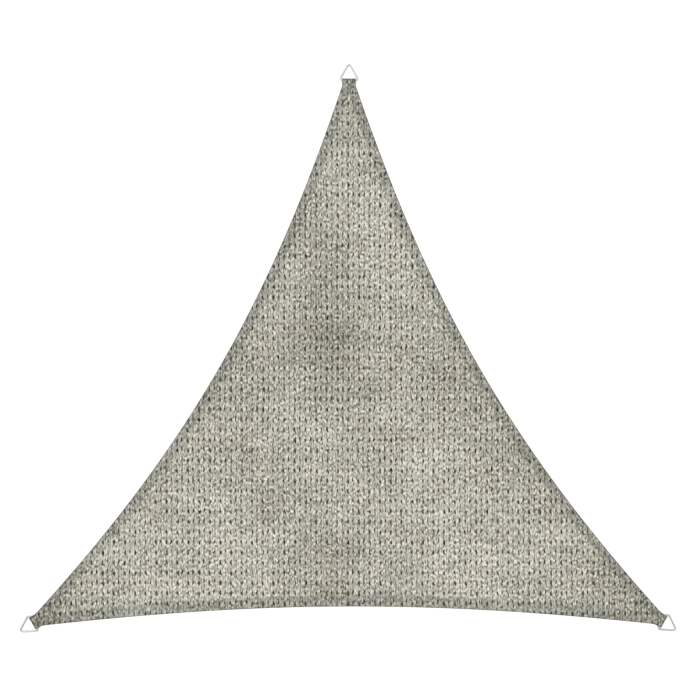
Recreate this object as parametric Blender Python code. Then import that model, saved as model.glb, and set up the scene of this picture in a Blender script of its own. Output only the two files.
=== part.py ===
"""A triangular shade sail of knitted cloth with a welded steel ring at each corner, laid out flat.

The cloth is one piece: a thin panel, hems of doubled cloth round its three curved edges, and at
each corner a tab that wraps over the ring's bar and is sewn back on itself. The model is in
metres. X runs along the foot, Y towards the peak and Z up from the surface the sail lies on.
"""

import math

import bmesh
import bpy
import numpy as np
from mathutils import Vector
from mathutils.geometry import intersect_line_line_2d

# Cloth.
SHEET = 0.0016  # the panel's thickness
HEM = 0.0030  # the doubled cloth of a hem
EDGE_STEPS = 36  # straight pieces in each curved edge
EDGE_POINT = 0.10  # how much an edge's cut gathers towards its middle, against a parabola

# Corner tabs, measured from the middle of the ring's bar.
TAB_WIDTH = 0.073
TAB_LENGTH = 0.030  # how far in its sides stay parallel
LAYER = 0.0015  # the cloth that goes round the bar
FLAP_END = 0.044  # where the turned-back end stops
FLAP_RISE = 0.028  # where the flap leaves the hem and climbs over the bar
SLEEVE_TAIL = 0.026  # how far in the sleeve is open
SLEEVE_EASE = 0.0013  # slack for the bends at the ends of the bar

# Rings: an equilateral triangle of round wire.
RING_SIDE = 0.108  # between the sharp corners of the wire's centre line
RING_BEND = 0.010  # radius of the centre line at a corner
WIRE = 0.008

BEND_STEP = 15.0  # degrees of a round bend in one straight piece
GAP = 0.0003  # between pieces that meet
MARGIN = 0.020  # how far a cutter runs past what it cuts

# Where the middle of each bar lies in plan, from the middle of the foot, which way its ring points,
# and how far the loose ring is turned, in degrees.
CORNERS = {
    "top": {"bar": (-0.001, 2.984), "outward": 90.0, "skew": 0.0},
    "left": {"bar": (-1.737, -0.004), "outward": 210.0, "skew": 2.5},
    "right": {"bar": (1.725, 0.005), "outward": 330.0, "skew": -4.0},
}

# The edges in order round the sail, each cut in by its sag at the middle, a little deeper towards
# one end by its lean, and hemmed inside.
EDGES = {
    "left_edge": {"start": "top", "end": "left", "sag": 0.194, "lean": 0.03, "hem_width": 0.052},
    "foot": {"start": "left", "end": "right", "sag": 0.101, "lean": 0.0, "hem_width": 0.063},
    "right_edge": {"start": "right", "end": "top", "sag": 0.189, "lean": -0.03, "hem_width": 0.052},
}

BAR_HEIGHT = LAYER + GAP + WIRE / 2
LOOP_TOP = BAR_HEIGHT + WIRE / 2 + GAP + LAYER
RING_REACH = RING_SIDE * math.sqrt(3) / 2 - RING_BEND  # from the bar to the tip
RING_TILT = math.asin((BAR_HEIGHT - WIRE / 2 - GAP) / RING_REACH)  # the tip is just off the floor


def make_material(name, color, roughness, metallic):
    material = bpy.data.materials.new(name)
    material.use_nodes = True
    shader = material.node_tree.nodes["Principled BSDF"]
    shader.inputs["Base Color"].default_value = (*color, 1.0)
    shader.inputs["Roughness"].default_value = roughness
    shader.inputs["Metallic"].default_value = metallic
    return material


def plan_point(corner, out, across):
    """The point of the plan that lies this far out from a corner's bar, and to the left of it."""
    angle = math.radians(corner["outward"])
    outward = np.array((math.cos(angle), math.sin(angle)))
    leftward = np.array((-outward[1], outward[0]))
    return np.array(corner["bar"]) + out * outward + across * leftward


def sleeve_slack(corner):
    """Room along the sleeve for a bar that lies askew in it."""
    return SLEEVE_EASE + TAB_WIDTH / 2 * math.tan(abs(math.radians(corner["skew"])))


def fold_reach(corner):
    return sleeve_slack(corner) + WIRE / 2 + GAP + LAYER


def edge_line(edge, inset=0.0):
    """Points along a curved edge, moved into the sail by inset square to the edge.

    The edge bows in from its chord by a parabola that is scaled down towards both ends.
    """
    start = plan_point(CORNERS[edge["start"]], -TAB_LENGTH, TAB_WIDTH / 2)
    end = plan_point(CORNERS[edge["end"]], -TAB_LENGTH, -TAB_WIDTH / 2)
    chord = end - start
    inward = np.array((-chord[1], chord[0])) / np.linalg.norm(chord)
    u = np.linspace(-1.0, 1.0, EDGE_STEPS + 1)[:, None]
    shape = 1 + edge["lean"] * u - EDGE_POINT * u**2
    points = start + (u + 1) / 2 * chord + edge["sag"] * (1 - u**2) * shape * inward
    turn = (1 - u**2) * (edge["lean"] - 2 * EDGE_POINT * u) - 2 * u * shape
    along = chord + 2 * edge["sag"] * turn * inward
    normal = np.column_stack((-along[:, 1], along[:, 0])) / np.linalg.norm(along, axis=1)[:, None]
    return points + inset * normal


def sail_outline():
    """The whole cloth seen from above: three curved edges, with a square-ended tab between."""
    points = []
    for edge in EDGES.values():
        corner = CORNERS[edge["end"]]
        points.extend(edge_line(edge))
        points.append(plan_point(corner, fold_reach(corner), -TAB_WIDTH / 2))
        points.append(plan_point(corner, fold_reach(corner), TAB_WIDTH / 2))
    return points


def crossing(first, second):
    """Where two lines of points cross, and after which point of each."""
    for i, (a, b) in enumerate(zip(first, first[1:])):
        for j, (c, d) in enumerate(zip(second, second[1:])):
            point = intersect_line_line_2d(a, b, c, d)
            if point:
                return i, j, point
    raise ValueError("the hems don't meet")


def panel_outline():
    """The inner sides of the three hems, cut off where they meet."""
    lines = [[Vector(point) for point in edge_line(edge, edge["hem_width"])] for edge in EDGES.values()]
    points = []
    for before, line, after in zip(lines[-1:] + lines[:-1], lines, lines[1:] + lines[:1]):
        _, first, corner = crossing(before, line)
        last, _, _ = crossing(line, after)
        points.append(corner)
        points.extend(line[first + 1 : last + 1])
    return points


def hem_region():
    """A hexagon over all of the sail but the loops at its corners."""
    half = TAB_WIDTH / 2 + MARGIN
    points = []
    for corner in CORNERS.values():
        points.append(plan_point(corner, -FLAP_END, -half))
        points.append(plan_point(corner, -FLAP_END, half))
    return points


def arc(center_x, center_y, radius, start, end):
    """Points round part of a circle, between two angles in degrees."""
    steps = math.ceil(abs(end - start) / BEND_STEP)
    angles = np.radians(np.linspace(start, end, steps + 1))
    return np.column_stack((center_x + radius * np.cos(angles), center_y + radius * np.sin(angles)))


def tangent_angle(center, radius, point):
    """The angle, in degrees, at which a line from a point on the left touches a circle from above."""
    across = np.subtract(center, point)
    rise = math.atan2(across[1], across[0]) + math.asin(radius / math.hypot(*across))
    return 90.0 + math.degrees(rise)


def loop_outside(corner):
    """What is cut away round a loop, from its side: X runs out from the bar and Y up.

    The flap lies on the hem, climbs over the bar and turns down round it to the floor.
    """
    slack = sleeve_slack(corner)
    radius = fold_reach(corner) - slack
    flap_top = HEM + LAYER
    rise = (-FLAP_RISE, flap_top)
    over = arc(-slack, BAR_HEIGHT, radius, tangent_angle((-slack, BAR_HEIGHT), radius, rise), 90.0)
    round_bar = arc(slack, BAR_HEIGHT, radius, 90.0, -90.0)
    inner = -FLAP_END - MARGIN
    outer = slack + radius + MARGIN
    high = LOOP_TOP + MARGIN
    surround = [(slack, -MARGIN), (outer, -MARGIN), (outer, high), (inner, high)]
    return [(inner, flap_top), rise, *over, *round_bar, *surround]


def sleeve(corner):
    """The inside of a loop, from its side: round where the bar lies, narrow where it is sewn."""
    slack = sleeve_slack(corner)
    radius = WIRE / 2 + GAP
    tail = (-SLEEVE_TAIL, HEM)
    over = arc(-slack, BAR_HEIGHT, radius, tangent_angle((-slack, BAR_HEIGHT), radius, tail), 90.0)
    round_bar = arc(slack, BAR_HEIGHT, radius, 90.0, -90.0)
    return [tail, *over, *round_bar, (-slack, BAR_HEIGHT - radius)]


def flat_curve(name, points, depth, material=None):
    """A flat outline as a 2D curve, extruded to a depth that is centred on the outline."""
    curve = bpy.data.curves.new(name, "CURVE")
    curve.dimensions = "2D"
    curve.fill_mode = "BOTH"
    curve.extrude = depth / 2
    spline = curve.splines.new("POLY")
    spline.points.add(len(points) - 1)
    for target, point in zip(spline.points, points):
        target.co = (point[0], point[1], 0.0, 1.0)
    spline.use_cyclic_u = True
    if material:
        curve.materials.append(material)
    return bpy.data.objects.new(name, curve)


def to_mesh(curve_object, collection, parent):
    """The mesh of a curve object, with its caps welded on, in the curve's place."""
    bpy.context.scene.collection.objects.link(curve_object)
    graph = bpy.context.evaluated_depsgraph_get()
    mesh = bpy.data.meshes.new_from_object(curve_object.evaluated_get(graph))
    bm = bmesh.new()
    bm.from_mesh(mesh)
    bmesh.ops.remove_doubles(bm, verts=bm.verts, dist=0.00001)
    bmesh.ops.recalc_face_normals(bm, faces=bm.faces)
    bm.to_mesh(mesh)
    bm.free()
    name = curve_object.name
    matrix = curve_object.matrix_world.copy()
    bpy.data.objects.remove(curve_object)
    mesh.name = name
    result = bpy.data.objects.new(name, mesh)
    collection.objects.link(result)
    result.parent = parent
    result.matrix_basis = matrix
    return result


def slab(name, points, low, high, collection, parent, material=None):
    """A flat outline extruded from one height to another."""
    curve_object = flat_curve(name, points, high - low, material)
    curve_object.location.z = (low + high) / 2
    return to_mesh(curve_object, collection, parent)


def side_cutter(name, points, corner, collection, parent):
    """An outline seen from a tab's side, extruded past both sides of the tab."""
    curve_object = flat_curve(name, points, TAB_WIDTH + 2 * MARGIN)
    curve_object.location = (*corner["bar"], 0.0)
    curve_object.rotation_euler = (math.pi / 2, 0.0, math.radians(corner["outward"]))
    return to_mesh(curve_object, collection, parent)


def cut(target, cutter):
    cutter.display_type = "WIRE"
    cutter.hide_render = True
    modifier = target.modifiers.new("Cut " + cutter.name, "BOOLEAN")
    modifier.operation = "DIFFERENCE"
    modifier.solver = "EXACT"
    modifier.object = cutter


def make_sail(collection, cutters, layout):
    """The cloth, cut down from a slab as high as its loops to hems, panel and rounded tabs."""
    material = make_material("knitted cloth", (0.418, 0.407, 0.342), 0.85, 0.0)
    sail = slab("sail_cloth", sail_outline(), 0.0, LOOP_TOP + GAP, collection, layout, material)
    cut_top = LOOP_TOP + MARGIN
    cut(sail, slab("above_hems", hem_region(), HEM, cut_top, cutters, layout))
    cut(sail, slab("above_panel", panel_outline(), SHEET, cut_top, cutters, layout))
    for name, corner in CORNERS.items():
        cut(sail, side_cutter("round_loop_" + name, loop_outside(corner), corner, cutters, layout))
        cut(sail, side_cutter("sleeve_" + name, sleeve(corner), corner, cutters, layout))


def ring_centre_line():
    """The wire's centre line, flat, with its bar's middle at the origin and its tip along +X."""
    centroid_x = RING_SIDE / (2 * math.sqrt(3))
    bend_distance = RING_SIDE / math.sqrt(3) - 2 * RING_BEND
    points = []
    for turn in (0.0, 120.0, 240.0):
        angle = math.radians(turn)
        x = centroid_x + bend_distance * math.cos(angle)
        y = bend_distance * math.sin(angle)
        points.extend(arc(x, y, RING_BEND, turn - 60.0, turn + 60.0))
    return points


def make_rings(collection, layout):
    """One ring through each tab, its tip resting down beside the cloth."""
    curve = bpy.data.curves.new("ring wire", "CURVE")
    curve.dimensions = "3D"
    curve.bevel_depth = WIRE / 2
    curve.bevel_resolution = 6
    curve.use_fill_caps = True
    points = ring_centre_line()
    spline = curve.splines.new("POLY")
    spline.points.add(len(points) - 1)
    for target, point in zip(spline.points, points):
        target.co = (point[0], point[1], 0.0, 1.0)
    spline.use_cyclic_u = True
    spline.use_smooth = True
    curve.materials.append(make_material("stainless steel", (0.62, 0.62, 0.61), 0.3, 1.0))
    for name, corner in CORNERS.items():
        ring = bpy.data.objects.new("ring_" + name, curve)
        ring.location = (*corner["bar"], BAR_HEIGHT)
        ring.rotation_euler = (0.0, RING_TILT, math.radians(corner["outward"] + corner["skew"]))
        ring.parent = layout
        collection.objects.link(ring)


def plan_centre():
    """The middle of the sail's bounding box in plan, whose four sides all touch a ring's tip."""
    bends = []
    for corner in CORNERS.values():
        angle = math.radians(corner["outward"] + corner["skew"])
        along = (RING_REACH - RING_BEND) * math.cos(RING_TILT)
        bends.append(np.array(corner["bar"]) + along * np.array((math.cos(angle), math.sin(angle))))
    return (np.min(bends, axis=0) + np.max(bends, axis=0)) / 2


def main():
    for obj in list(bpy.data.objects):
        bpy.data.objects.remove(obj)
    sail_parts = bpy.data.collections.new("shade sail")
    cutters = bpy.data.collections.new("cutters")
    for collection in (sail_parts, cutters):
        bpy.context.scene.collection.children.link(collection)
    layout = bpy.data.objects.new("layout", None)
    layout.location = (*-plan_centre(), 0.0)
    sail_parts.objects.link(layout)
    make_sail(sail_parts, cutters, layout)
    make_rings(sail_parts, layout)


main()
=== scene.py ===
import math

import bmesh
import bpy
import numpy as np
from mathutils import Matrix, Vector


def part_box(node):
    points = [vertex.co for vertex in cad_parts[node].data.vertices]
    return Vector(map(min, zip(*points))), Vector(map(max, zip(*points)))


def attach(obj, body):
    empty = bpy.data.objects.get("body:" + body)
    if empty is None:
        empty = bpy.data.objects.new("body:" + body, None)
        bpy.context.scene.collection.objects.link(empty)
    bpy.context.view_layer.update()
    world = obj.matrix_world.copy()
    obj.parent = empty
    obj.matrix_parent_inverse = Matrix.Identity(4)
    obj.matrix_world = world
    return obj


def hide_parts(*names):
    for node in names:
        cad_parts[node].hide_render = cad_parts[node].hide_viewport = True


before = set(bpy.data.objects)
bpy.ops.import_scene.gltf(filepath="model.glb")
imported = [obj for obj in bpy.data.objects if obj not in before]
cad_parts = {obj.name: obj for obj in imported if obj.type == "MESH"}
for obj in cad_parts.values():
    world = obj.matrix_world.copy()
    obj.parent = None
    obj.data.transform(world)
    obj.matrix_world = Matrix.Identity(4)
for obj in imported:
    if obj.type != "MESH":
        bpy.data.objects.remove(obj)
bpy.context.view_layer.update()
print("stage: frame loaded")

# Plan of the sail, in metres. Its place comes from the top ring's box in the frame.
sail = {
    "leftBar": (-1.736, -2.988),  # the lower rings' bars, from the top one
    "rightBar": (1.726, -2.979),
    "sags": (0.194, 0.101, 0.189),  # how far the left edge, foot and right edge are cut in
    "leans": (0.03, 0.0, -0.03),  # how much deeper towards the edge's end
    "hems": (0.052, 0.063, 0.052),
    "point": 0.10,  # how much the cut gathers towards an edge's middle, against a parabola
    "hemRise": 0.0014,  # how much higher the doubled cloth lies
    "hemStep": 0.004,  # half the width of the step up to it
    "clothTop": 0.0012,  # the ground cloth under the yarns
    "foldRadius": 0.0040,  # rounding of the folded edges
    "foldDrop": 0.0013,  # and how far the yarns go down there
    "foldHeight": 0.3,  # share of their height over the cloth that they keep there
    "inset": 0.0004,  # how far inside the outline the yarns' points stay
    "pull": 0.04,  # and the furthest that a point is moved for it
}

tab = {
    "width": 0.073,
    "length": 0.030,  # from the end of the curved edges to the bar
    "reach": 0.3,  # how far in from the bar the tab's own sides count
    "layer": 0.0015,
    "flapEnd": 0.044,  # from the bar to the end that is sewn back
    "flapRise": 0.028,  # and to where the flap starts to climb over the bar
    "flapStep": 0.002,  # half the width of the step up to the flap
    "ease": 0.0013,  # room along the sleeve
    "wrap": 1.85,  # how far the yarns go round the bar, in radians
    "mostTurn": 3.0,
    "stand": 0.25,  # share of a yarn's height by which it stands outwards on the bend
    "shadeFrom": 0.02,  # from here to the end the bend is shaded as a folded edge is,
    "shadeScale": 0.38,  # with its distances scaled by this
}

wire = {
    "thickness": 0.008,
    "side": 0.108,  # between the sharp corners of its centre line
    "bend": 0.010,
    "gap": 0.0003,
    "skew": {"top": 0.0, "left": 2.5, "right": -4.0},  # degrees that each loose ring is turned
    "roundSteps": 28,
    "bendSteps": 14,
    "mapScale": 10.0,  # brush marks' places to a metre
}

wireRadius = wire["thickness"] / 2
barHeight = tab["layer"] + wire["gap"] + wireRadius
ringReach = wire["side"] * math.sqrt(3) / 2 - wire["bend"]
ringTilt = math.asin((barHeight - wireRadius - wire["gap"]) / ringReach)
bendRadius = wireRadius + wire["gap"] + tab["layer"]
flapTop = sail["clothTop"] + sail["hemRise"] + tab["layer"]
halfTab = tab["width"] / 2
topLow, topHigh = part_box("ring_top")
topBar = np.array(((topLow.x + topHigh.x) / 2, topLow.y + wireRadius))
bars = {"top": topBar, "left": topBar + sail["leftBar"], "right": topBar + sail["rightBar"]}
pointing = {"top": 90.0, "left": 210.0, "right": 330.0}
edges = [
    {"from": start, "to": end, "sag": sag, "lean": lean}
    for start, end, sag, lean in zip(bars, ("left", "right", "top"), sail["sags"], sail["leans"])
]


def directions(corner, turn=0.0):  # unit vectors outwards and to the left at a corner, turned by degrees
    angle = math.radians(pointing[corner] + turn)
    return np.array((math.cos(angle), math.sin(angle))), np.array((-math.sin(angle), math.cos(angle)))


def planPoint(corner, out, across, turn=0.0):  # a place so far outwards and to the left of a corner's bar
    outward, leftward = directions(corner, turn)
    return bars[corner] + out * outward + across * leftward


def fromBar(corner, points):  # and back: how far outwards and to the left of it the points lie
    outward, leftward = directions(corner)
    offset = points - bars[corner]
    return offset @ outward, offset @ leftward


def slackOf(corner):  # room along the sleeve for a bar that lies askew in it
    return tab["ease"] + halfTab * math.tan(abs(math.radians(wire["skew"][corner])))


def edgeFrame(edge):  # start, length and directions along and square to the chord between two tabs
    start = planPoint(edge["from"], -tab["length"], halfTab)
    end = planPoint(edge["to"], -tab["length"], -halfTab)
    length = np.linalg.norm(end - start)
    along = (end - start) / length
    return start, length, along, np.array((-along[1], along[0]))


def edgeBow(edge, u):
    # how far the edge is cut in, and its slope, at u from -1 to 1 along the chord between two tabs:
    # a parabola times a shape that falls off towards both ends and leans to one
    shape = 1 + edge["lean"] * u - sail["point"] * u**2
    turn = (1 - u**2) * (edge["lean"] - 2 * sail["point"] * u) - 2 * u * shape
    return edge["sag"] * (1 - u**2) * shape, 2 * edge["sag"] * turn


def edgeLine(edge, steps):  # points on the curved edge: chord plus bow
    start, length, along, inward = edgeFrame(edge)
    u = np.linspace(-1, 1, steps + 1)[:, None]
    return start + (u + 1) / 2 * length * along + edgeBow(edge, u)[0] * inward


def smoothStep(value, low, high):  # 0 below low and 1 above high, joined by a cubic
    t = np.clip((value - low) / (high - low), 0, 1)
    return t * t * (3 - 2 * t)


def edgeDistances(points):
    # distance to each curved edge: height over its line, divided by the length of the unit slope
    found = []
    normals = []
    for edge in edges:
        start, length, along, inward = edgeFrame(edge)
        offset = points - start
        bow, rise = edgeBow(edge, 2 * (offset @ along) / length - 1)
        slope = rise / length
        scale = np.sqrt(1 + slope * slope)
        found.append((offset @ inward - bow) / scale)
        normals.append((inward - slope[..., None] * along) / scale[..., None])
    return np.stack(found), np.stack(normals)


def loopEnd(corner):  # how far the tab's loop reaches past the bar in plan
    return slackOf(corner) + bendRadius


def yarnEnd(corner):  # and how far its yarns run, measured along them over the bar
    return slackOf(corner) + bendRadius * tab["wrap"]


def outlineDistance(points, endOf=loopEnd):
    # distance inside the sail's outline: the nearest curved edge, or the tab's own sides near a corner
    outside = -1.0
    toEdge, normals = edgeDistances(points)
    nearest = toEdge.argmin(0)
    distance = np.take_along_axis(toEdge, nearest[None], 0)[0]
    normal = np.take_along_axis(normals, nearest[None, ..., None], 0)[0]
    for corner in bars:
        outward, leftward = directions(corner)
        out, across = fromBar(corner, points)
        distance = np.where(out > -tab["length"], outside, distance)
        toEnd = endOf(corner) - out
        toSide = halfTab - np.abs(across)
        inTab = np.where(out > -tab["reach"], np.minimum(toSide, toEnd), outside)
        sideways = -np.sign(across)[..., None] * leftward
        tabNormal = np.where((toSide < toEnd)[..., None], sideways, -outward)
        better = inTab > distance
        distance = np.where(better, inTab, distance)
        normal = np.where(better[..., None], tabNormal, normal)
    return distance, normal


def foldRoundness(distance):  # a quarter circle, from 0 at a folded edge to 1 at its radius
    return np.sqrt(1 - (1 - np.clip(distance / sail["foldRadius"], 0, 1)) ** 2)


def hemDistance(points):  # from the inner line of the nearest hem, below zero on the hem
    toEdge, _ = edgeDistances(points)
    return (toEdge - np.reshape(sail["hems"], (3,) + (1,) * (points.ndim - 1))).min(0)


def riseAngle(corner):
    # slope of the cloth that climbs from the flap and meets the bend over the bar as a tangent: the slope
    # to the bend's centre, and on top the angle under which its radius shows from the foot of the climb
    dx, dz = tab["flapRise"] - slackOf(corner), barHeight - flapTop
    return math.atan2(dz, dx) + math.asin(bendRadius / math.hypot(dx, dz))


def loopHeight(corner, out):
    # side view of a tab: flat flap, a straight rise tangent to the bend, then the bend over the bar
    slack, rise = slackOf(corner), riseAngle(corner)
    line = flapTop + (out + tab["flapRise"]) * math.tan(rise)
    beyond = np.clip(np.abs(out) - slack, 0, bendRadius)
    bend = barHeight + np.sqrt(bendRadius**2 - beyond**2)
    tangent = -slack - bendRadius * math.sin(rise)
    return np.where(out < -tab["flapRise"], flapTop, np.where(out < tangent, line, bend))


def hemHeight(points):  # top of the ground cloth, with a soft step up to the hems
    onHem = smoothStep(-hemDistance(points), -sail["hemStep"], sail["hemStep"])
    return sail["clothTop"] + sail["hemRise"] * onHem


def clothHeight(points):  # and with the tabs' loops
    height = hemHeight(points)
    step = tab["flapStep"]
    for corner in bars:
        out, across = fromBar(corner, points)
        onFlap = smoothStep(out, -tab["flapEnd"] - step, -tab["flapEnd"] + step)
        onFlap = onFlap * smoothStep(halfTab - np.abs(across), -step, 0.0)
        height = height + onFlap * (loopHeight(corner, out) - height)
    return height


# Helpers that put whole arrays into meshes.


def raised(plan, height):  # plan places with their height as the third value
    return np.concatenate((plan, height[..., None]), -1)


def newObject(name, data):  # linked into the scene
    made = bpy.data.objects.new(name, data)
    bpy.context.scene.collection.objects.link(made)
    return made


def layMesh(name, points, quads, triangles=None, values=None, maps=None):
    # keeps only the points in use; values are per point, and maps are texture places per face corner
    triangles = np.empty((0, 3), int) if triangles is None else triangles
    corners = np.concatenate((quads.ravel(), triangles.ravel()))
    used, corners = np.unique(corners, return_inverse=True)
    corners = corners.ravel()
    mesh = bpy.data.meshes.new(name)
    mesh.vertices.add(len(used))
    mesh.vertices.foreach_set("co", points[used].astype(np.float32).ravel())
    sizes = np.concatenate((np.full(len(quads), 4), np.full(len(triangles), 3)))
    mesh.loops.add(len(corners))
    mesh.loops.foreach_set("vertex_index", corners.astype(np.int32))
    mesh.polygons.add(len(sizes))
    mesh.polygons.foreach_set("loop_start", np.concatenate(([0], np.cumsum(sizes)[:-1])).astype(np.int32))
    mesh.polygons.foreach_set("loop_total", sizes.astype(np.int32))
    mesh.polygons.foreach_set("use_smooth", np.full(len(sizes), True))
    mesh.update(calc_edges=True)
    for key, value in (values or {}).items():
        layer = mesh.attributes.new(key, "FLOAT", "POINT")
        layer.data.foreach_set("value", value[used].astype(np.float32))
    for key, place in (maps or {}).items():
        layer = mesh.uv_layers.new(name=key, do_init=False)
        layer.uv.foreach_set("vector", place.astype(np.float32).ravel())
    return newObject(name, mesh)


# Texture places for baking: what looks down lies above a split in the unit square.
bake = {
    "yarnSplit": 0.935,
    "sheetSplit": 0.5,
    "edge": 0.003,
    "gap": 0.005,
}


def bakePlaces(places, under, split):
    # plan positions scaled to fill the unit square up to the split, and the undersides' above it
    low, high = places.min(0), places.max(0)
    share = bake["edge"] + (1 - 2 * bake["edge"]) * (places - low) / (high - low)
    top = (split - bake["gap"]) * share[:, 1]
    bottom = split + bake["gap"] + (1 - bake["gap"] - split) * share[:, 1]
    share[:, 1] = np.where(under, bottom, top)
    return share


def join(piece, material, replaced=()):  # makes a piece part of the sail, in place of CAD nodes
    piece.data.materials.append(material)
    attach(piece, "root")
    if replaced:
        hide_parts(*replaced)
    return piece


def faceBelow(piece, material):  # a second material for the faces that look down
    piece.data.materials.append(material)
    facing = np.empty(len(piece.data.polygons) * 3, np.float32)
    piece.data.polygons.foreach_get("normal", facing)
    piece.data.polygons.foreach_set("material_index", (facing[2::3] < -0.5).astype(np.int32))
    return piece


# Soft uneven tone over the whole sail: darker and lighter patches, listed one by one. Each has its place in
# metres from the middle, its spread across and along the sail, and its strength.
patches = [
    ((-0.11, 0.03), (0.13, 0.13), -1.5),
    ((-0.11, 0.45), (0.10, 0.22), -0.8),
    ((-0.12, -1.15), (0.12, 0.24), -1.0),
    ((-0.10, 1.16), (0.08, 0.10), -0.4),
    ((0.0, 1.43), (0.08, 0.07), -0.6),
    ((-1.67, -1.48), (0.14, 0.09), -1.4),
    ((1.69, -1.48), (0.12, 0.08), -0.7),
    ((0.01, -1.20), (0.12, 0.12), -0.3),
    ((-0.57, -0.12), (0.14, 0.16), -0.6),
    ((0.50, -0.20), (0.30, 0.14), -0.4),
    ((0.98, -0.63), (0.12, 0.12), -0.9),
    ((1.44, -1.30), (0.14, 0.11), -1.2),
    ((0.0, -0.20), (0.50, 0.18), -0.2),
    ((-0.46, -0.43), (0.18, 0.12), 0.4),
    ((0.10, -0.43), (0.18, 0.10), 0.6),
    ((0.13, 0.70), (0.10, 0.16), 0.6),
    ((0.30, 0.44), (0.12, 0.16), 0.6),
    ((0.45, -0.68), (0.24, 0.14), 0.5),
    ((0.14, -0.84), (0.18, 0.12), 0.6),
    ((-0.78, -1.18), (0.40, 0.20), 0.9),
    ((0.70, -1.20), (0.36, 0.18), 0.9),
]


def patchTone(points):  # a sum of soft round patches
    tone = np.zeros(points.shape[:-1])
    for place, spread, strength in patches:
        offset = (points - np.array(place)) / np.array(spread)
        tone += strength * np.exp(-(offset**2).sum(-1) / 2)
    return tone


def wander(points, seed, length):  # smooth noise: waves of about one length in random directions
    count = 9
    rng = np.random.default_rng(seed)
    result = np.zeros(points.shape[:-1])
    for _ in range(count):
        angle, phase = rng.uniform(0, 2 * np.pi, 2)
        pitch = length * rng.uniform(0.6, 1.7)
        direction = np.array((math.cos(angle), math.sin(angle)))
        result += np.sin(2 * np.pi * (points @ direction) / pitch + phase)
    return result / math.sqrt(count / 2)


# The knit, in metres. Rows of pits lie one row apart, and columns half a repeat apart.
knit = {
    "repeat": 0.0587,  # one loop column and one chain column
    "row": 0.0562,
    "firstColumn": 0.0,  # a column of the pits that stand right of a chain
    "firstRow": 0.0,
    "loopColumn": 0.0147,  # from those pits to the middle of the loops
    "chainColumn": 0.0440,  # and to the middle of the chains
    "sections": 10,  # along a yarn, in a row
    "bits": 5,  # changes of tone and place along a yarn, in a row
    "widthBits": 2,  # and of width
    "profile": 5,  # points round a yarn
    "bottom": 0.6,  # depth below a yarn's middle, against its height above
    "overrun": 0.0035,  # how far past the outline a yarn's middle may run before it is cut off
    "mapStep": 0.15,  # how far the filament marks move on from section to section
    "mapShift": 0.37,  # and from yarn to yarn
    "seed": 11,
}

# Each kind is a pair of yarns, and a tuple gives the left and the right one's value: how far beside its
# column a yarn lies at the pits and between them, its height there, half its width and thickness, how
# far up the row its swing is moved, its slant, and how far and where it dives under its neighbours.
yarns = {
    "chain": {
        "column": "chainColumn", "wide": 0.0066, "thick": 0.0015, "tone": 0.1,
        "pit": (-0.0050, 0.0036), "band": (-0.0052, 0.0052), "pitLift": 0.0026, "bandLift": 0.0026,
        "shift": 0.0, "lean": -0.0012, "dive": 0.0008, "at": (0.30, 0.80),
    },
    "loop": {
        "column": "loopColumn", "wide": 0.0068, "thick": 0.0016, "tone": 0.2,
        "pit": (-0.0036, 0.0050), "band": (-0.0050, 0.0050), "pitLift": 0.0028, "bandLift": (0.0022, 0.0018),
        "shift": 0.07, "lean": (-0.0016, 0.0010), "dive": 0.0008, "at": (0.45, 0.95),
    },
    "swing": {
        "column": "chainColumn", "wide": 0.0060, "thick": 0.0014, "tone": -0.15,
        "pit": (-0.0074, 0.0074), "band": (-0.0190, 0.0190), "pitLift": 0.0014, "bandLift": (0.0030, 0.0028),
        "shift": (0.15, 0.0), "lean": 0.0, "dive": 0.0006, "at": (0.1, 0.6),
    },
}
unevenness = {
    "columnPlace": 0.0016,  # how far the columns stray
    "columnLength": 0.35,
    "pitPlace": 0.0015,  # spread of a yarn's place at the pits
    "bandPlace": 0.0020,
    "bitPlace": 0.0010,  # and from bit to bit
    "width": 0.14,
    "phase": 0.04,
    "gathered": 0.15,  # how much lighter the yarns are between the pits than halfway to the next row
    "bitTone": 0.68,
    "crisp": 0.5,  # how sharply the tone changes from bit to bit
    "limit": 2.2,  # furthest that a step strays, in spreads
    "streak": 0.10,  # slow tone, drawn out across the sail
    "streakLength": 0.16,
    "streakShape": (0.35, 1.0),
    "lift": 0.0004,
}

sailLow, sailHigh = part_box("sail_cloth")
columnCount = math.ceil((sailHigh.x - sailLow.x) / knit["repeat"]) + 2
rowCount = math.ceil((sailHigh.y - sailLow.y) / knit["row"]) + 2


def beforeSail(first, pitch, low):  # the same column or row, counted back to outside the sail
    return first - pitch * math.ceil((first - low) / pitch + 1)


firstColumn = beforeSail(knit["firstColumn"], knit["repeat"], sailLow.x)
firstRow = beforeSail(knit["firstRow"], knit["row"], sailLow.y)


def columnPlace(x, y):  # where a straight column's x ends up, since the columns stray sideways a little
    return x + unevenness["columnPlace"] * wander(np.stack((x, y), -1), 3, unevenness["columnLength"])


# Painted shade round the pits: dark spots on the yarns that slope down into them.
pit = {
    "across": 0.0042,  # radius
    "along": 0.0085,
    "up": (0.0, 0.08),  # how far up the row, on the two sides of a chain
    "dark": 1.0,
    "sides": (1.45, 0.55),  # how strong there
    "spread": 1.0,  # how uneven from pit to pit
    "fade": 0.3,  # and slowly over the sail
    "fadeLength": 0.5,
    "fall": 0.28,  # how much weaker a metre further up it
}


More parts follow.
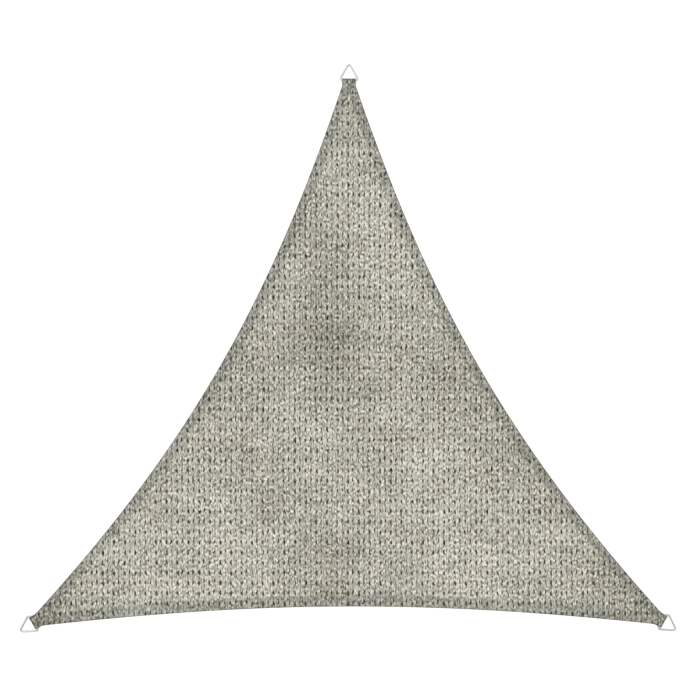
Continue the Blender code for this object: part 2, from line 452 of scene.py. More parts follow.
def paintedPitShade(points):
    # a soft round spot of painted shade at each place of the knit's lattice, with its own random strength
    x, y = points[:, 0], points[:, 1]
    across = (x - (columnPlace(x, y) - x) - firstColumn) / (knit["repeat"] / 2)
    column = np.rint(across).astype(int)
    along = (y - firstRow) / knit["row"] - np.where(column % 2, pit["up"][1], pit["up"][0])
    row = np.rint(along).astype(int)
    offset = ((across - column) * knit["repeat"] / 2 / pit["across"]) ** 2
    offset += ((along - row) * knit["row"] / pit["along"]) ** 2
    rng = np.random.default_rng(knit["seed"] + 90)
    table = rng.uniform(1 - pit["spread"], 1 + pit["spread"], (2 * columnCount + 3, rowCount + 3))
    table *= np.where(np.arange(len(table)) % 2, pit["sides"][1], pit["sides"][0])[:, None]
    strength = table[column.clip(0, len(table) - 1), row.clip(0, table.shape[1] - 1)]
    slow = pit["fade"] * wander(points, 21, pit["fadeLength"])
    strength = strength * (1 + slow - pit["fall"] * y).clip(0)
    return pit["dark"] * strength * np.exp(-offset)


def streakTone(points):  # smooth noise on points that lie closer together across the sail
    return unevenness["streak"] * wander(points * unevenness["streakShape"], 31, unevenness["streakLength"])


def drape(points):
    # turns heights over the cloth into heights over the floor: what lies past the outline is moved back
    # to it, the fold bends down there, and the tabs' yarns go round the bar; gives values for the colour
    plan = points[:, :2]
    toHem = hemDistance(plan)
    distance, normal = outlineDistance(plan, yarnEnd)
    plan += np.clip(sail["inset"] - distance, 0, sail["pull"])[:, None] * normal
    roundness = foldRoundness(distance)
    above = points[:, 2] * (sail["foldHeight"] + (1 - sail["foldHeight"]) * roundness)
    above = above - sail["foldDrop"] * (1 - roundness)
    points[:, 2] = clothHeight(plan) + above
    for corner in bars:
        slack = slackOf(corner)
        out, across = fromBar(corner, plan)
        turn = (out - slack) / bendRadius
        onBend = (turn > 0) & (turn < tab["mostTurn"])
        turn, lift = turn[onBend], above[onBend]
        bent = slack + (bendRadius + tab["stand"] * lift) * np.sin(turn)
        plan[onBend] = planPoint(corner, bent[:, None], across[onBend, None])
        points[onBend, 2] = barHeight + (bendRadius + lift) * np.cos(turn)
        out[onBend] = bent
        nearBar = (out > -tab["shadeFrom"]) & (np.abs(across) < tab["width"])
        toFold = np.where(nearBar, tab["shadeScale"] * (loopEnd(corner) - out), 1.0)
        distance = np.minimum(distance, toFold)
    return {"toHem": toHem, "toEdge": distance, "patch": patchTone(plan)}


def tubes(name, centre, wide, thick, tone, mapStep):
    # a flat-bottomed oval profile carried along each line; where the line leaves the sail it is cut off,
    # and the last ring of points shrinks to one
    lines, steps = centre.shape[:2]
    sides = knit["profile"]
    keep = outlineDistance(centre[..., :2], yarnEnd)[0] > -knit["overrun"]
    run = np.gradient(centre[..., :2], axis=1)
    run /= np.linalg.norm(run, axis=2, keepdims=True)
    side = np.concatenate((run[..., 1:], -run[..., :1], np.zeros((lines, steps, 1))), 2)
    angle = np.radians(-90 - 360 * np.arange(sides) / sides)  # this way round, the faces point outwards
    lift = np.where(np.sin(angle) < 0, knit["bottom"], 1.0) * np.sin(angle)
    beside = np.pad(keep, ((0, 0), (1, 1)))
    pole = ~keep & (beside[:, :-2] | beside[:, 2:])
    swell = np.where(pole, 0.0, 1.0)
    halfWidth = (swell * wide)[..., None, None] * np.cos(angle)[:, None]
    points = centre[:, :, None, :] + halfWidth * side[:, :, None, :]
    points[..., 2] += (swell * thick)[..., None] * lift
    flat = points.reshape(-1, 3)
    # painted shade round the pits, less the slow random streaks of tone
    shade = paintedPitShade(flat[:, :2]) - streakTone(flat[:, :2])
    values = drape(flat)
    values["tone"] = np.repeat(tone.ravel(), sides) - shade
    # the profile's height, which sets the painted shade low on the yarns' sides
    values["crown"] = np.tile(lift, lines * steps)
    index = np.arange(lines * steps * sides).reshape(lines, steps, sides)
    index = np.where(pole[..., None], index[..., :1], index)
    a, b = index[:, :-1], index[:, 1:]
    quad = np.stack((a, np.roll(a, -1, 2), np.roll(b, -1, 2), b), -1)
    line = np.arange(lines)[:, None, None, None] * knit["mapShift"]
    along = np.arange(steps - 1)[None, :, None, None] + np.array((0, 0, 1, 1))
    around = (np.arange(sides)[:, None] + np.array((0, 1, 1, 0))) / sides
    yarn = np.stack(np.broadcast_arrays(along * mapStep + line, around), -1)
    under = np.broadcast_to(np.isin(np.arange(sides), (0, sides - 1))[:, None], quad.shape)
    fore, aft = keep[:, :-1], keep[:, 1:]
    parts = ((fore & aft, (0, 1, 2, 3)), (~fore & aft, (0, 2, 3)), (fore & ~aft, (0, 1, 2)))
    middles, starts, ends = (quad[which][..., corners] for which, corners in parts)
    quads, triangles = middles.reshape(-1, 4), np.concatenate((starts, ends)).reshape(-1, 3)
    used = np.concatenate((quads.ravel(), triangles.ravel()))
    underneath = np.concatenate([under[which][..., corners].ravel() for which, corners in parts])
    maps = {
        "yarn": np.concatenate([yarn[which][..., corners, :].reshape(-1, 2) for which, corners in parts]),
        "OFBake": bakePlaces(flat[used, :2], underneath, bake["yarnSplit"]),
    }
    return layMesh(name, flat, quads, triangles, values, maps)


def bitNoise(rng, lines, place, bits, crisp=0.0):
    # random steps along each line, joined smoothly; crisp takes a share of each step off the next one
    at = place * bits
    before = np.floor(at - at[0]).astype(int)
    blend = at - at[0] - before
    blend = blend * blend * (3 - 2 * blend)
    limit = unevenness["limit"]
    table = rng.normal(0, 1, (lines, before.max() + 2)).clip(-limit, limit)
    table -= crisp * np.roll(table, 1, 1)
    return table[:, before] * (1 - blend) + table[:, before + 1] * blend


def layYarns(name, kind, half, number):
    # down each column, a yarn's place and height at the pits and between them are joined by squared
    # cosines; on top come its slant, its dives and noise that changes from row to row and bit to bit
    rng = np.random.default_rng(knit["seed"] + number)
    columns = np.arange(columnCount)
    steps = rowCount * knit["sections"] + 1
    place = firstRow / knit["row"] + np.arange(steps) / knit["sections"]
    y = np.broadcast_to(place * knit["row"], (columnCount, steps))

    def noise(bits=knit["bits"], at=place, crisp=0.0):
        return bitNoise(rng, columnCount, at, bits, crisp)

    centres, wides, tones = [], [], []
    for one in (0, 1):
        yarn = {key: value[one] if isinstance(value, tuple) else value for key, value in yarns[kind].items()}
        x = firstColumn + knit[yarn["column"]] + columns * knit["repeat"]
        turn = place - yarn["shift"] + noise(1) * unevenness["phase"]
        band = np.sin(np.pi * turn) ** 2
        atPit = yarn["pit"] + unevenness["pitPlace"] * noise(1)
        atBand = yarn["band"] + unevenness["bandPlace"] * noise(1, place - 0.5)
        sideways = (1 - band) * atPit + band * atBand + yarn["lean"] * np.sin(2 * np.pi * turn)
        sideways = sideways + unevenness["bitPlace"] * noise()
        lift = (1 - band) * yarn["pitLift"] + band * yarn["bandLift"]
        lift = lift + yarn["dive"] * np.cos(2 * np.pi * (turn - yarn["at"]))
        lift = lift + unevenness["lift"] * noise()
        tone = yarn["tone"] + unevenness["bitTone"] * noise(crisp=unevenness["crisp"])
        tone = tone + unevenness["gathered"] * (0.5 - band)
        columnX = columnPlace(np.broadcast_to(x[:, None], y.shape), y)
        centres.append(np.stack((columnX + sideways, y, lift), -1))
        wides.append(yarn["wide"] * (1 + unevenness["width"] * noise(knit["widthBits"])))
        tones.append(tone)
    onLeft = firstColumn + columns * knit["repeat"] < (sailLow.x + sailHigh.x) / 2
    onHalf = np.tile(onLeft == (half == "left"), len(centres))
    centre, wide, tone = (np.concatenate(values)[onHalf] for values in (centres, wides, tones))
    return tubes(name, centre, wide, yarns[kind]["thick"], tone, knit["mapStep"])


# Flat inlaid tapes cross the sail between the rows of pits.
tape = {
    "sections": 5,  # in a repeat
    "strips": [
        {"at": 0.0058, "wide": 0.0066, "lift": 0.0008},
        {"at": -0.0060, "wide": 0.0066, "lift": 0.0011},
    ],
    "middle": 0.0281,  # above the pits right of a chain
    "climb": 0.0090,  # how much higher at the other pits
    "thick": 0.0008,
    # painted shade: the tapes are darker, as they lie low under the yarns
    "tone": -0.45,
    "bits": 2,  # changes along a tape, in a repeat
    "bitPlace": 0.0024,
    "bitWidth": 0.2,
    "bitTone": 0.5,
    "mapStep": 0.2,
}


def layTapes(name, number):
    # along each row, a tape rises and falls by a cosine from pit to pit, with noise in place and width
    rng = np.random.default_rng(knit["seed"] + number)
    steps = columnCount * tape["sections"] + 1
    place = np.arange(steps) / tape["sections"]
    rows = np.arange(rowCount)
    x = np.broadcast_to(firstColumn + place * knit["repeat"], (rowCount, steps))

    def noise():
        return bitNoise(rng, rowCount, place, tape["bits"])

    centres, wides, tones = [], [], []
    for strip in tape["strips"]:
        y = firstRow + rows[:, None] * knit["row"] + tape["middle"] + strip["at"]
        y = y + tape["climb"] * (1 - np.cos(2 * np.pi * place)) / 2 + tape["bitPlace"] * noise()
        centres.append(np.stack((x, y, np.full(x.shape, strip["lift"])), -1))
        wides.append(strip["wide"] * (1 + tape["bitWidth"] * noise()))
        tones.append(tape["tone"] + tape["bitTone"] * noise())
    centre, wide, tone = map(np.concatenate, (centres, wides, tones))
    return tubes(name, centre, wide, tape["thick"], tone, tape["mapStep"])


# Sheets of cloth: two faces welded at their border.
sheet = {
    "weld": 0.000005,
    "shortest": 0.0000001,  # an edge below this is dissolved
    "tone": 0.3,
    "toneLength": 0.05,
    "mapScale": 20.0,  # filament marks' places to a metre
}


def closedSheet(name, top, under):
    # two grids with the same border; the border is welded and the faces are turned outwards
    many, rows = top.shape[:2]
    index = np.arange(many * rows).reshape(many, rows)
    a, b, c, d = index[:-1, :-1], index[1:, :-1], index[1:, 1:], index[:-1, 1:]
    upper = np.stack((a, b, c, d), -1).reshape(-1, 4)
    lower = np.stack((d, c, b, a), -1).reshape(-1, 4) + many * rows
    points = np.concatenate((top.reshape(-1, 3), under.reshape(-1, 3)))
    quads = np.concatenate((upper, lower))
    plan = points[:, :2]
    distance, _ = outlineDistance(plan)
    values = {
        "tone": wander(plan, 7, sheet["toneLength"]) * sheet["tone"],
        "crown": np.full(len(points), 1.0),
        "toHem": hemDistance(plan),
        "toEdge": distance,
        "patch": patchTone(plan),
    }
    corners = quads.ravel()
    underneath = np.arange(len(corners)) >= upper.size
    maps = {
        "yarn": plan[corners] * sheet["mapScale"],
        "OFBake": bakePlaces(plan[corners], underneath, bake["sheetSplit"]),
    }
    piece = layMesh(name, points, quads, None, values, maps)
    work = bmesh.new()
    work.from_mesh(piece.data)
    bmesh.ops.remove_doubles(work, verts=work.verts, dist=sheet["weld"])
    bmesh.ops.dissolve_degenerate(work, edges=work.edges, dist=sheet["shortest"])
    bmesh.ops.recalc_face_normals(work, faces=work.faces)
    work.to_mesh(piece.data)
    work.free()
    return piece


# Ground cloth: columns of a grid between the upper and lower outline, finer at the hems.
ground = {
    "columns": 120,
    "crowding": 1.15,  # power that draws the columns together towards the corners
    "inner": 24,  # rows between the hems
    "edgeSteps": 120,
    "tabReach": -0.024,  # where it ends under the tabs' loops
    "skirt": (0.0, 0.0006, 0.0018, 0.0035),  # rows at the folded edge, measured square to it
    "step": (-0.005, -0.0015, 0.0015, 0.005),  # rows at the hem's inner line
    "steepest": 3.2,  # most that these rows are drawn apart on a steep edge
    "most": 0.96,  # share of a column's height that they may take up
    "besideTab": (0.00001, 0.00003),  # columns just outside and just inside the top tab's sides
    "tiny": 0.00002,  # keeps the outline's upper line from running straight up at the top tab
    "nudge": 0.000001,  # keeps the end columns inside the outline
}


def outlineChains():
    # the outline's upper and lower lines of points, both from left to right
    left, foot, right = (edgeLine(edge, ground["edgeSteps"]) for edge in edges)
    reach, sides = ground["tabReach"], (halfTab, -halfTab)
    ends = {corner: [planPoint(corner, reach, side) for side in sides] for corner in bars}
    tiny = (ground["tiny"], 0)
    upper = [ends["left"][1], *left[::-1], ends["top"][0] + tiny, ends["top"][1] - tiny]
    upper += [*right[::-1], ends["right"][0]]
    lower = [ends["left"][1], ends["left"][0], *foot, ends["right"][1], ends["right"][0]]
    return np.array(upper), np.array(lower)


def layGround(name):
    # each column's points run from the lower to the upper line; at the folded edges both faces meet in
    # a quarter circle
    upper, lower = outlineChains()
    reach = ground["tabReach"]
    lowX, highX = lower[0, 0], lower[-1, 0]
    share = np.linspace(-1, 1, ground["columns"] + 1)
    crowded = np.sign(share) * (1 - (1 - np.abs(share)) ** ground["crowding"])
    x = (lowX + highX) / 2 + (highX - lowX) / 2 * crowded
    outside, inside = ground["besideTab"]
    aside = np.array((halfTab / 2, halfTab - inside, halfTab + outside))
    tabX = bars["top"][0] + np.concatenate((-aside, (0.0,), aside))
    kinks = [planPoint(*kink)[0] for kink in (("left", reach, halfTab), ("right", reach, -halfTab))]
    x = np.unique(np.concatenate((x, tabX, kinks)))
    x[0] += ground["nudge"]
    x[-1] -= ground["nudge"]
    high, low = np.interp(x, upper[:, 0], upper[:, 1]), np.interp(x, lower[:, 0], lower[:, 1])
    tall = (high - low)[:, None]

    def offsets(chain, hem):
        # rows counted from a boundary: distances square to it, turned into upright ones by its slope
        slope = np.gradient(np.interp(x, chain[:, 0], chain[:, 1]), x)
        stretch = np.sqrt(1 + slope**2)[:, None].clip(1, ground["steepest"])
        return np.concatenate((ground["skirt"], hem + np.array(ground["step"])))[None] * stretch

    up, down = offsets(lower, sail["hems"][1]), offsets(upper, sail["hems"][0])
    fit = np.minimum(1, ground["most"] * tall / (up[:, -1:] + down[:, -1:]))
    up, down = up * fit, down * fit
    inner = np.linspace(0, 1, ground["inner"] + 2)[1:-1]
    between = up[:, -1:] + inner * (tall - up[:, -1:] - down[:, -1:])
    rows = low[:, None] + np.concatenate((up, between, tall - down[:, ::-1]), 1)
    plan = np.stack((np.broadcast_to(x[:, None], rows.shape), rows), -1)
    rim = foldRoundness(outlineDistance(plan, lambda corner: reach)[0])
    rim[:, 0] = rim[:, -1] = 0
    rim[0] = rim[-1] = 0
    flat = hemHeight(plan)
    return closedSheet(name, raised(plan, flat * (0.5 + 0.5 * rim)), raised(plan, flat * 0.5 * (1 - rim)))


# Rows and columns of the sheet that makes a tab.
loop = {
    "endRow": 0.004,  # from the flap's end
    "riseRow": 0.006,  # before its rise
    "backRow": 0.006,  # on the way back, from the bar
    "overlap": 0.001,  # past the end of the ground cloth
    "overSteps": 6,
    "downSteps": 14,
    "columns": (-1.0, -0.985, -0.94, -0.6, -0.2, 0.2, 0.6, 0.94, 0.985, 1.0),  # in half widths
    "fullness": (0.0, 0.75, 1.0, 1.0, 1.0, 1.0, 1.0, 1.0, 0.75, 0.0),  # share of the thickness there
}


def layTab(name, corner):
    # a side view carried across the tab: it starts as the flap, goes over the bar on an arc, round it and
    # back under the sail; the inner face runs one layer inside the outer one, and they meet at the border
    slack, rise = slackOf(corner), riseAngle(corner)
    over = np.linspace(math.pi / 2 + rise, math.pi / 2, loop["overSteps"])
    down = np.linspace(math.pi / 2, -math.pi / 2, loop["downSteps"])
    end, climb = -tab["flapEnd"], -tab["flapRise"]
    across = halfTab * np.array(loop["columns"])

    def sideView(radius, flapHeight, backHeight):
        outs = np.concatenate((
            (end, end + loop["endRow"], climb - loop["riseRow"], climb),
            -slack + radius * np.cos(over),
            slack + radius * np.cos(down),
            (-loop["backRow"], ground["tabReach"] - loop["overlap"]),
        ))
        heights = np.concatenate((
            (flapHeight,) * 4,
            barHeight + radius * np.sin(over),
            barHeight + radius * np.sin(down),
            (backHeight,) * 2,
        ))
        return np.stack((outs, heights))

    outer = sideView(bendRadius, flapTop, 0.0)
    inner = sideView(bendRadius - tab["layer"], flapTop - tab["layer"], tab["layer"])
    middle = (outer + inner) / 2

    def surface(view):
        thin = np.tile(loop["fullness"], (view.shape[1], 1))
        thin[0] = thin[-1] = 0
        out, height = middle[:, :, None] + thin * (view - middle)[:, :, None]
        return raised(planPoint(corner, out[..., None], across[None, :, None]), height)

    return closedSheet(name, surface(outer), surface(inner))


def layRing(name, corner):
    # a round profile carried round a triangle with bent corners, then laid down to its tip
    centroid = wire["side"] / (2 * math.sqrt(3))
    bendAway = wire["side"] / math.sqrt(3) - 2 * wire["bend"]
    turns = np.radians(np.repeat((0.0, 120.0, 240.0), wire["bendSteps"] + 1))
    sweep = np.tile(np.radians(np.linspace(-60, 60, wire["bendSteps"] + 1)), 3)
    radial = np.stack((np.cos(turns + sweep), np.sin(turns + sweep)), -1)
    path = np.stack((centroid + bendAway * np.cos(turns), bendAway * np.sin(turns)), -1)
    path += wire["bend"] * radial
    around = np.linspace(0, 2 * np.pi, wire["roundSteps"], endpoint=False)
    level = path[:, None] + (wireRadius * np.cos(around))[None, :, None] * radial[:, None]
    ahead, across, up = level[..., 0], level[..., 1], wireRadius * np.sin(around)
    out = ahead * math.cos(ringTilt) + up * math.sin(ringTilt)
    height = barHeight + (up * math.cos(ringTilt) - ahead * math.sin(ringTilt))
    placed = raised(planPoint(corner, out[..., None], across[..., None], wire["skew"][corner]), height)
    closed = np.concatenate((path, path[:1]))
    length = np.concatenate(([0], np.cumsum(np.linalg.norm(np.diff(closed, axis=0), axis=1))))
    index = np.arange(height.size).reshape(height.shape)
    a, b = index, np.roll(index, -1, 0)
    quads = np.stack((a, b, np.roll(b, -1, 1), np.roll(a, -1, 1)), -1).reshape(-1, 4)
    along = np.stack((length[:-1], length[1:], length[1:], length[:-1]), -1)[:, None] * wire["mapScale"]
    share = (np.arange(len(around))[:, None] + np.array((0, 0, 1, 1))) / len(around)
    places = np.stack(np.broadcast_arrays(along, share), -1).reshape(-1, 2)
    return layMesh(name, placed.reshape(-1, 3), quads, maps={"wire": places})


# Materials.


def newMaterial(name):
    material = bpy.data.materials.new(name)
    material.use_nodes = True
    tree = material.node_tree
    return material, tree, tree.nodes["Principled BSDF"]


def feed(tree, made, values):  # a number or colour is set on the node's socket, an output is linked to it
    for key, value in values.items():
        if isinstance(value, bpy.types.NodeSocket):
            tree.links.new(value, made.inputs[key])
        else:
            made.inputs[key].default_value = value
    return made


def node(tree, kind, values=None, **settings):
    made = tree.nodes.new(kind)
    for key, value in settings.items():
        setattr(made, key, value)
    return feed(tree, made, values or {})


def mathNode(tree, operation, *values):
    return node(tree, "ShaderNodeMath", dict(enumerate(values)), operation=operation).outputs[0]


def vectorNode(tree, operation, values):
    return node(tree, "ShaderNodeVectorMath", values, operation=operation).outputs[0]


def rangeNode(tree, value, fromRange, toLow, toHigh):  # a straight line from range to range, clamped
    low, high = fromRange
    values = {"Value": value, "From Min": low, "From Max": high, "To Min": toLow, "To Max": toHigh}
    return node(tree, "ShaderNodeMapRange", values, clamp=True).outputs[0]


def noiseNode(tree, vector, scale, detail, output="Fac"):  # scale is one number, or one for each direction
    if isinstance(scale, tuple):
        vector = node(tree, "ShaderNodeMapping", {"Vector": vector, "Scale": scale}).outputs["Vector"]
        scale = 1.0
    values = {"Vector": vector, "Scale": scale, "Detail": detail}
    return node(tree, "ShaderNodeTexNoise", values).outputs[output]


def rampNode(tree, value, stops):  # stops are pairs of place and colour, in order
    made = node(tree, "ShaderNodeValToRGB", {"Fac": value})
    elements = made.color_ramp.elements
    while len(elements) < len(stops):
        elements.new(0.5)
    for element, (place, colour) in zip(elements, stops):
        element.position = place
        element.color = (*colour, 1)
    return made.outputs["Color"]


def bumpNode(tree, height, strength, distance):
    values = {"Height": height, "Strength": strength, "Distance": distance}
    return node(tree, "ShaderNodeBump", values).outputs["Normal"]


def attribute(tree, name):
    return node(tree, "ShaderNodeAttribute", attribute_name=name).outputs["Fac"]


def objectPlace(tree):
    return node(tree, "ShaderNodeTexCoord").outputs["Object"]


mostNoise = (0.3, 0.7)  # nearly all of a noise lies in this range
hemRange = (-sail["hemStep"], sail["hemStep"])
yarnLook = {
    "dark": (0.106, 0.100, 0.072),
    "middle": (0.391, 0.377, 0.315),
    "light": (0.736, 0.720, 0.636),
    "toneRange": (-1.6, 1.6),  # tones that take up the colours from dark to light
    "grainScale": (70.0, 125.0, 90.0),
    "grainTone": 0.45,
    "filamentTone": 0.18,
    "patchTone": 0.32,
    "cool": (0.992, 1.0, 1.016),  # slow drift of the dye
    "warm": (1.008, 1.0, 0.984),
    "driftScale": 5.0,
    "driftRange": (0.32, 0.68),
    # painted shade on the hems' doubled cloth and along the folded edges
    "hemShade": -0.26,
    "hemTint": (0.985, 1.004, 1.0),
    "edgeShade": -0.55,
    "edgeRange": (0.0015, 0.006),
    # painted shade low on a yarn's sides
    "sideShade": 0.55,  # brightness low on a yarn's sides, against 1 on its crown
    "sideRange": (-0.1, 0.75),
    "bumpStrength": 0.5,
    "bumpHeight": 0.0008,
    "roughnessSpread": 0.08,
    "specular": 0.35,
}


def yarnColourGroup():
    # the tones of yarn, grain, filaments and patches are added and pick a colour between dark and light,
    # which gets painted shade on hems, at edges and low on the yarns' sides, and is tinted by the slow drift
    group = bpy.data.node_groups.new("yarnColour", "ShaderNodeTree")
    for name in ("Tone", "Filament"):
        group.interface.new_socket(name, in_out="INPUT", socket_type="NodeSocketFloat")
    group.interface.new_socket("Colour", in_out="OUTPUT", socket_type="NodeSocketColor")
    given = node(group, "NodeGroupInput").outputs
    place = objectPlace(group)
    grain = noiseNode(group, place, yarnLook["grainScale"], 2.0)
    toHem = attribute(group, "toHem")
    tone = mathNode(group, "ADD", given["Tone"], attribute(group, "tone"))
    for part, reach in ((grain, yarnLook["grainTone"]), (given["Filament"], yarnLook["filamentTone"])):
        tone = mathNode(group, "ADD", tone, rangeNode(group, part, mostNoise, -reach, reach))
    patch = mathNode(group, "MULTIPLY", attribute(group, "patch"), yarnLook["patchTone"])
    tone = mathNode(group, "ADD", tone, patch)
    stops = ((0.0, yarnLook["dark"]), (0.5, yarnLook["middle"]), (1.0, yarnLook["light"]))
    colour = rampNode(group, rangeNode(group, tone, yarnLook["toneRange"], 0, 1), stops)
    hem = rangeNode(group, toHem, hemRange, 1 + yarnLook["hemShade"], 1.0)
    edge = rangeNode(group, attribute(group, "toEdge"), yarnLook["edgeRange"], 1 + yarnLook["edgeShade"], 1.0)
    side = rangeNode(group, attribute(group, "crown"), yarnLook["sideRange"], yarnLook["sideShade"], 1.0)
    paintedShade = mathNode(group, "MULTIPLY", mathNode(group, "MULTIPLY", hem, edge), side)
    drift = noiseNode(group, place, yarnLook["driftScale"], 1.0)
    tints = tuple(zip(yarnLook["driftRange"], (yarnLook["cool"], yarnLook["warm"])))
    inPaintedShade = vectorNode(group, "SCALE", {0: colour, "Scale": paintedShade})
    tinted = vectorNode(group, "MULTIPLY", {0: inPaintedShade, 1: rampNode(group, drift, tints)})
    onHem = rangeNode(group, toHem, hemRange, 1.0, 0.0)
    mixed = {0: onHem, 6: tinted, 7: (*yarnLook["hemTint"], 1)}  # the factor and the two colours
    final = node(group, "ShaderNodeMix", mixed, data_type="RGBA", blend_type="MULTIPLY").outputs[2]
    node(group, "NodeGroupOutput", {"Colour": final})
    return group


def yarnMaterial(name, colours, tone, roughness, filamentScale):
    # noise drawn out along the yarn stands for its filaments, in the colour, the bump and the roughness
    material, tree, shader = newMaterial(name)
    place = node(tree, "ShaderNodeUVMap", uv_map="yarn").outputs["UV"]
    filament = noiseNode(tree, place, filamentScale, 2.0)
    colour = node(tree, "ShaderNodeGroup", node_tree=colours)
    feed(tree, colour, {"Tone": tone, "Filament": filament})
    low, high = roughness - yarnLook["roughnessSpread"], roughness + yarnLook["roughnessSpread"]
    feed(tree, shader, {
        "Base Color": colour.outputs["Colour"],
        "Normal": bumpNode(tree, filament, yarnLook["bumpStrength"], yarnLook["bumpHeight"]),
        "Roughness": rangeNode(tree, filament, mostNoise, low, high),
        "Specular IOR Level": yarnLook["specular"],
    })
    return material


# Painted shade of the pits: the ground cloth under the yarns is coloured nearly black to dark grey.
pitShadeGroundLook = {
    "patchScale": 34.0,
    "stops": ((0.36, (0.010, 0.010, 0.008)), (0.68, (0.140, 0.134, 0.104))),
    "roughness": 0.9,
    "specular": 0.2,
}


def pitShadeGroundMaterial():  # a noise mixes nearly black and dark grey
    material, tree, shader = newMaterial("painted pit shade")
    noise = noiseNode(tree, objectPlace(tree), pitShadeGroundLook["patchScale"], 2.0)
    feed(tree, shader, {
        "Base Color": rampNode(tree, noise, pitShadeGroundLook["stops"]),
        "Roughness": pitShadeGroundLook["roughness"],
        "Specular IOR Level": pitShadeGroundLook["specular"],
    })
    return material


belowLook = {
    "wobbleScale": 30.0,
    "wobble": 0.016,
    "pitRange": (1.2, 1.8),  # of the two waves' sum
    "ribRange": (-0.9, 0.2),  # of the faster wave
    "pitShade": 0.2,
    "ribShade": 0.72,
    "streakScale": (110.0, 28.0, 1.0),
    "streakTone": 0.9,
    "bumpStrength": 0.6,
    "bumpHeight": 0.002,
    "roughness": 0.7,
    "specular": 0.3,
}


def knitBelowGroup():
    # the knit seen from below, on Object coordinates that a noise bends a little: 1 in the pits, where a
    # wave across the columns and one along the rows both peak, and 1 on the ribs, a faster wave across
    group = bpy.data.node_groups.new("knitBelow", "ShaderNodeTree")
    for name in ("Pit", "Rib"):
        group.interface.new_socket(name, in_out="OUTPUT", socket_type="NodeSocketFloat")
    place = objectPlace(group)
    wobble = noiseNode(group, place, belowLook["wobbleScale"], 1.0, "Color")
    shift = vectorNode(group, "SCALE", {0: wobble, "Scale": belowLook["wobble"]})
    moved = vectorNode(group, "ADD", {0: place, 1: shift})
    axes = node(group, "ShaderNodeSeparateXYZ", {0: moved}).outputs

    def wave(axis, pitch):
        return mathNode(group, "COSINE", mathNode(group, "MULTIPLY", axes[axis], 2 * math.pi / pitch))

    both = mathNode(group, "ADD", wave("X", knit["repeat"] / 2), wave("Y", knit["row"]))
    node(group, "NodeGroupOutput", {
        "Pit": rangeNode(group, both, belowLook["pitRange"], 0.0, 1.0),
        "Rib": rangeNode(group, wave("X", knit["repeat"] / 4), belowLook["ribRange"], 1.0, 0.0),
    })
    return group


def undersideMaterial(colours, pattern):
    # the sail seen from below: the yarns' colour, with painted shade between the ribs and at the pits, which
    # the bump also sinks
    material, tree, shader = newMaterial("knit from below")
    streak = noiseNode(tree, objectPlace(tree), belowLook["streakScale"], 2.0)
    colour = node(tree, "ShaderNodeGroup", node_tree=colours)
    reach = belowLook["streakTone"]
    feed(tree, colour, {"Tone": rangeNode(tree, streak, mostNoise, -reach, reach), "Filament": streak})
    below = node(tree, "ShaderNodeGroup", node_tree=pattern).outputs
    pitShade = rangeNode(tree, below["Pit"], (0.0, 1.0), 1.0, belowLook["pitShade"])
    ribShade = rangeNode(tree, below["Rib"], (0.0, 1.0), belowLook["ribShade"], 1.0)
    shade = mathNode(tree, "MULTIPLY", pitShade, ribShade)
    feed(tree, shader, {
        "Base Color": vectorNode(tree, "SCALE", {0: colour.outputs["Colour"], "Scale": shade}),
        "Normal": bumpNode(tree, shade, belowLook["bumpStrength"], belowLook["bumpHeight"]),
        "Roughness": belowLook["roughness"],
        "Specular IOR Level": belowLook["specular"],
    })
    return material


steelLook = {
    "brushScale": (6.0, 90.0, 1.0),  # along and round the wire
    "stops": ((0.3, (0.39, 0.39, 0.39)), (0.7, (0.56, 0.56, 0.55))),
    "roughness": (0.38, 0.54),
}


def steelMaterial():  # fine brush marks along the wire, in the colour and the roughness
    material, tree, shader = newMaterial("satin steel wire")
    place = node(tree, "ShaderNodeUVMap", uv_map="wire").outputs["UV"]
    brushed = noiseNode(tree, place, steelLook["brushScale"], 3.0)
    feed(tree, shader, {
        "Base Color": rampNode(tree, brushed, steelLook["stops"]),
        "Roughness": rangeNode(tree, brushed, mostNoise, *steelLook["roughness"]),
        "Metallic": 1.0,
    })
    return material


yarnColours = yarnColourGroup()
chainYarn = yarnMaterial("chain yarn", yarnColours, 0.0, 0.55, (3.0, 14.0, 1.0))
tapeYarn = yarnMaterial("inlaid tape", yarnColours, 0.0, 0.6, (3.0, 16.0, 1.0))
tabCloth = yarnMaterial("tab cloth", yarnColours, -0.6, 0.7, (8.0, 8.0, 1.0))
pitShadeGroundCloth = pitShadeGroundMaterial()
knitFromBelow = undersideMaterial(yarnColours, knitBelowGroup())
steel = steelMaterial()

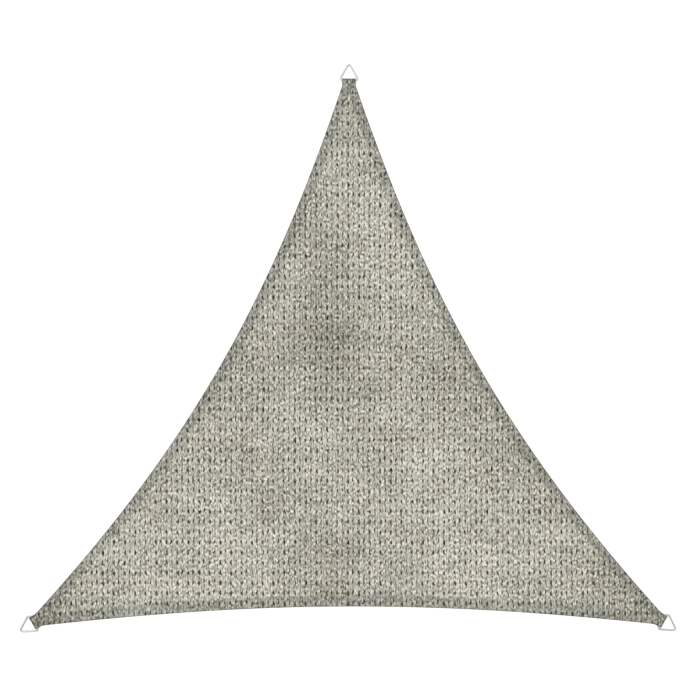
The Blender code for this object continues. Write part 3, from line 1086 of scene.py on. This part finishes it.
clothPiece = join(layGround("ground_cloth"), pitShadeGroundCloth, ("sail_cloth",))
faceBelow(clothPiece, knitFromBelow)
print("stage: ground cloth laid")
onCloth = [join(layTapes("inlaid_tapes", 50), tapeYarn)]
print("stage: tapes laid")
for number, (kind, half) in enumerate((kind, half) for kind in yarns for half in ("left", "right")):
    piece = layYarns(f"{kind}_yarns_{half}", kind, half, number)
    onCloth.append(join(piece, chainYarn))
print("stage: yarns laid")
for corner in bars:
    piece = join(layTab(f"tab_{corner}", corner), tabCloth)
    onCloth.append(faceBelow(piece, knitFromBelow))
    join(layRing(f"wire_ring_{corner}", corner), steel, (f"ring_{corner}",))
print("stage: tabs and rings laid")

# Studio: pale floor, soft light and a camera straight above.
studio = {
    "floorSize": 160.0,
    "floorDrop": 0.0004,
    "floorGrey": 0.92,
    "floorRoughness": 0.9,
    "lens": 85.0,
    "sensor": 36.0,
    "frameWidth": 3.834,  # what the photograph takes in at the sail
    "aim": (0.0, 0.0014),
    "farthest": 200.0,
    "skyStrength": 0.74,
    "keyStrength": 1.62,
    "keySpread": 18.0,  # degrees across the light as seen from the sail
    "keyFrom": (-1.6, 1.8, 9.0),
}

floorMesh = bpy.data.meshes.new("floor")
far = studio["floorSize"] / 2
floorRim = [(x, y, -studio["floorDrop"]) for x, y in ((-far, -far), (far, -far), (far, far), (-far, far))]
floorMesh.from_pydata(floorRim, [], [(0, 1, 2, 3)])
floorPaint, floorTree, floorShader = newMaterial("studio floor")
grey = studio["floorGrey"]
feed(floorTree, floorShader, {"Base Color": (grey, grey, grey, 1), "Roughness": studio["floorRoughness"]})
floorMesh.materials.append(floorPaint)
newObject("floor", floorMesh)

world = bpy.data.worlds.new("studio")
world.use_nodes = True
sky = {"Color": (1, 1, 1, 1), "Strength": studio["skyStrength"]}
feed(world.node_tree, world.node_tree.nodes["Background"], sky)
bpy.context.scene.world = world
bpy.context.scene.view_settings.view_transform = "Standard"

keyData = bpy.data.lights.new("key", "SUN")
keyData.energy = studio["keyStrength"]
keyData.angle = math.radians(studio["keySpread"])
key = newObject("key", keyData)
key.location = studio["keyFrom"]
key.rotation_mode = "QUATERNION"
key.rotation_quaternion = key.location.to_track_quat("Z", "Y")

cameraData = bpy.data.cameras.new("camera")
cameraData.lens = studio["lens"]
cameraData.sensor_width = studio["sensor"]
cameraData.clip_end = studio["farthest"]
camera = newObject("camera", cameraData)
camera.location = (*studio["aim"], studio["frameWidth"] * studio["lens"] / studio["sensor"])
bpy.context.scene.camera = camera
print("stage: studio set")
